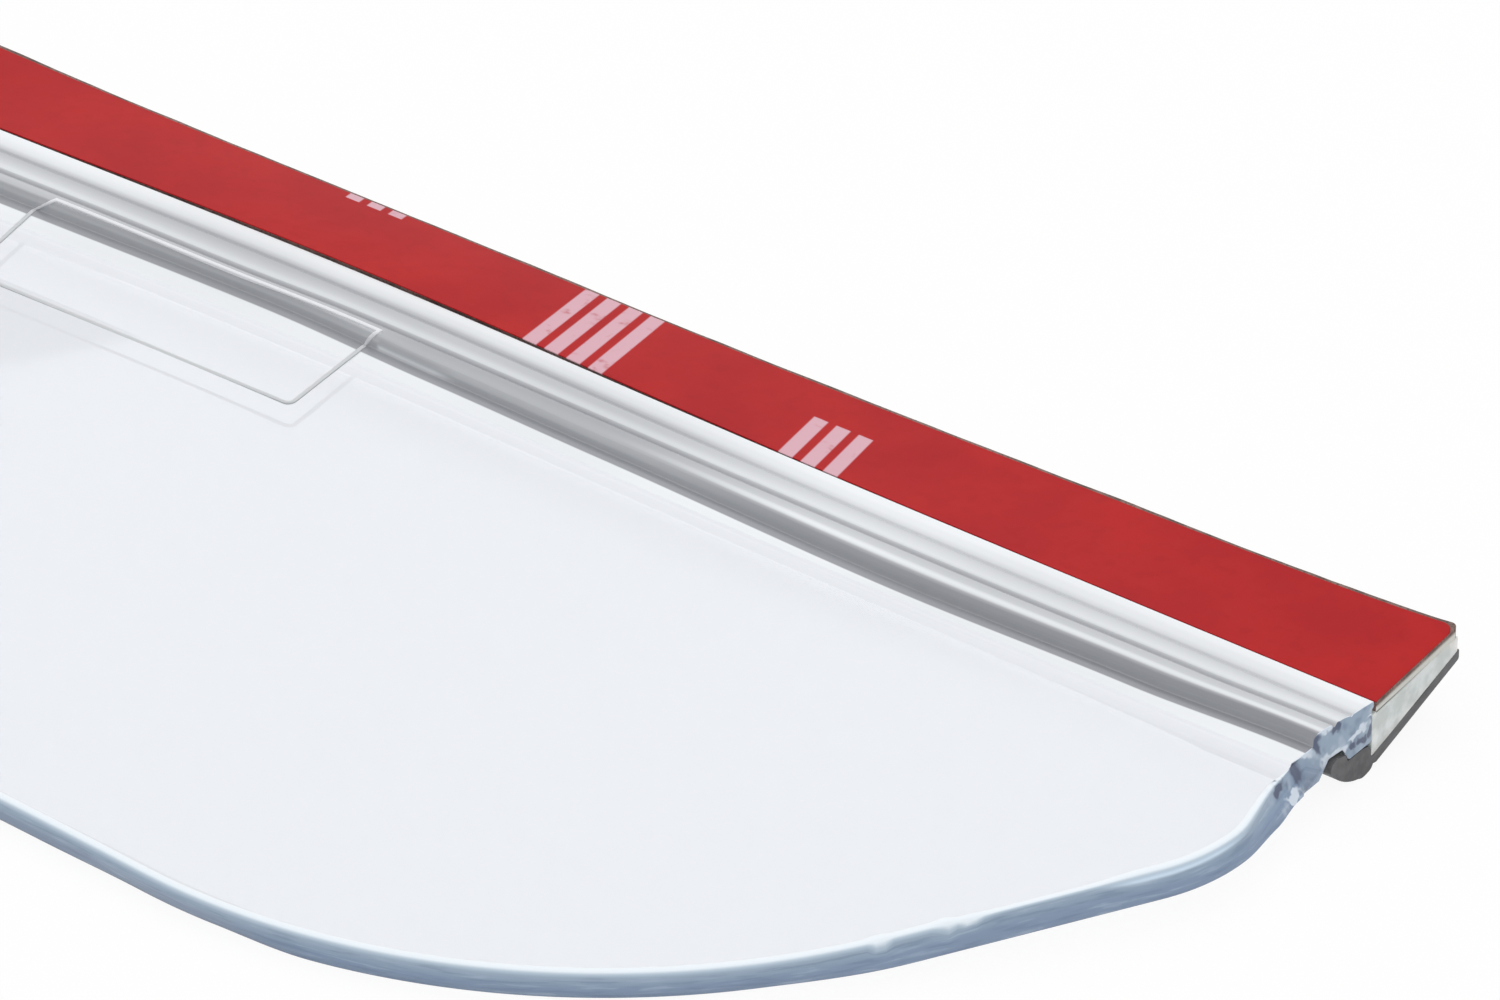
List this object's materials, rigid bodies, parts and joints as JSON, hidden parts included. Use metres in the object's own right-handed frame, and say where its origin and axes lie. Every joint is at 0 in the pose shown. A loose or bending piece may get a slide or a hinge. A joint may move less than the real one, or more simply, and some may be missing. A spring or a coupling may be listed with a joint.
{
  "type": "mirror rain guard",
  "caption": "Clear flat visor blade with a ribbed rail, carried by a soft lip strip, a wedge core and foam tape that sticks to a door mirror's housing.",
  "frame": {"origin": "centre of the mounting face, which is the top of the release liner over the foam tape", "axes": "+X along the rail, +Y to the rear, away from the blade, +Z out of the mounting face"},
  "size_m": [0.1774, 0.0671, 0.0053],
  "materials": {
    "clear_pvc": "clear, glossy, blue-grey at its cut edges",
    "milky_core": "soft translucent white",
    "dark_lip": "satin soft rubber",
    "foam": "matt closed-cell foam",
    "red_liner": "satin film"
  },
  "bodies": {
    "root": {"visor_blade": "clear_pvc", "wedge_core": "milky_core", "lip_strip": "dark_lip", "foam_tape": "foam", "release_liner": "red_liner"}
  },
  "joints": []
}
